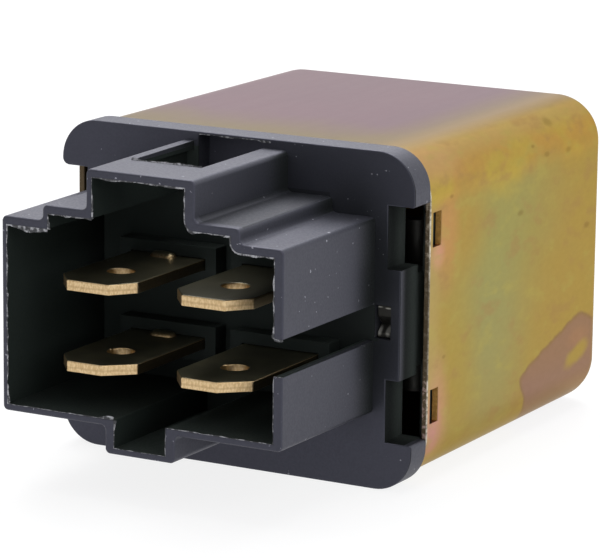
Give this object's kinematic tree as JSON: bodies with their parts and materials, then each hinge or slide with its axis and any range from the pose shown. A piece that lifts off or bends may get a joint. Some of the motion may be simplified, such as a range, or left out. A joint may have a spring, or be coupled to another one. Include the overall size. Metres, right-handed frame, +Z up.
{
  "type": "starter relay",
  "caption": "Plug-in starter relay: a yellow-passivated steel can on a black moulded base with a keyed connector shroud and brass blade terminals, and a hinged armature inside.",
  "frame": {"origin": "under the middle of the relay's box, level with the edge of the flange that it lies on", "axes": "+Y from the connector's mouth to the can's closed end, +Z up from the side it lies on to the latch housing's side, +X to the right seen from the mouth"},
  "size_m": [0.03, 0.0466, 0.025],
  "materials": {
    "yellow_zinc": "zinc plated and yellow passivated, satin, with colour play",
    "black_moulding": "fine matt moulded surface",
    "terminal_brass": "rolled, dulled, bright at the cut edges",
    "plated_iron": "zinc plated",
    "bobbin_plastic": "moulded",
    "enamelled_copper": "lacquered wire",
    "coil_tape": "polyester tape",
    "spring_bronze": "rolled strip",
    "contact_silver": "bright"
  },
  "bodies": {
    "relay": {"can": "yellow_zinc", "base": "black_moulding", "coil_terminal_a": "terminal_brass", "coil_terminal_b": "terminal_brass", "load_terminal": "terminal_brass", "supply_terminal": "terminal_brass", "yoke": "plated_iron", "core": "plated_iron", "bobbin": "bobbin_plastic", "winding": "enamelled_copper", "winding_tape": "coil_tape", "coil_lead_a": "enamelled_copper", "coil_lead_b": "enamelled_copper", "yoke_rivets": "plated_iron", "fixed_contact": "contact_silver", "back_stop": "plated_iron"},
    "armature": {"armature": "plated_iron", "contact_spring": "spring_bronze", "armature_rivets": "plated_iron", "moving_contact": "contact_silver"}
  },
  "joints": [
    {"name": "armature_hinge", "type": "hinge", "parent": "relay", "child": "armature", "pos_m": [0.01183, 0.01617, 0.0125], "axis": [0, 0, 1], "range_deg": [0, 2], "stiffness_Nm_per_rad": 0.02, "springref_deg": -11.46, "deforming": ["contact_spring"]}
  ]
}
